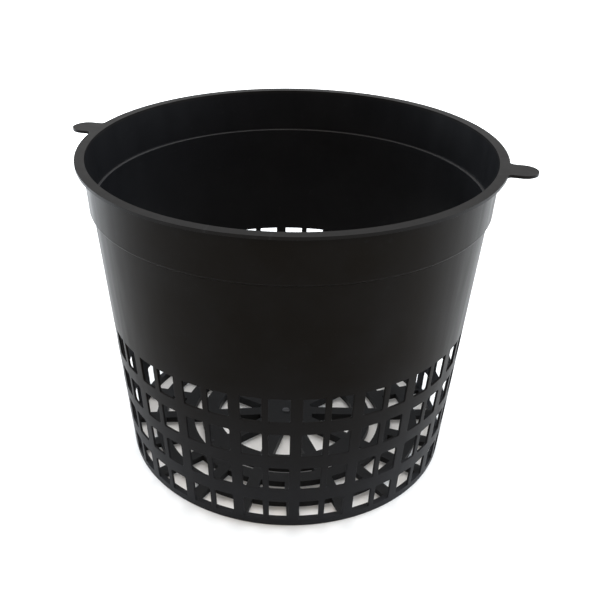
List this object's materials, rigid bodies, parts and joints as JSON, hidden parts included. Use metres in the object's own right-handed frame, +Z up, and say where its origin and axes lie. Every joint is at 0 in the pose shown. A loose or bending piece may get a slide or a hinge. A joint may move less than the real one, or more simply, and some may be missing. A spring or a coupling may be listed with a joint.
{
  "type": "mesh plant pot",
  "caption": "Round tapered plant pot with a flat rim, two lifting tabs, a collar, rows of wall windows in pairs and a raised open grid floor.",
  "frame": {"origin": "on the pot's axis, at the level of the surface it stands on", "axes": "+Z up along the pot's axis; the two lifting tabs lie along X"},
  "size_m": [0.2248, 0.2, 0.1584],
  "materials": {
    "black_plastic": "satin moulded",
    "rim_plastic": "satin moulded"
  },
  "bodies": {
    "root": {"rim_land": "rim_plastic", "tab_left": "rim_plastic", "tab_right": "rim_plastic", "collar": "black_plastic", "collar_step": "black_plastic", "plain_wall": "black_plastic", "wide_bars": "black_plastic", "narrow_bars": "black_plastic", "cross_bars_top": "black_plastic", "cross_bars_middle": "black_plastic", "cross_bars_low": "black_plastic", "foot_ring": "black_plastic", "floor_ring_outer": "black_plastic", "floor_ring_middle": "black_plastic", "floor_ring_inner": "black_plastic", "floor_hub": "black_plastic", "floor_mark": "black_plastic", "spokes_edge": "black_plastic", "spokes_outer": "black_plastic", "spokes_middle": "black_plastic", "spokes_inner": "black_plastic"}
  },
  "joints": []
}
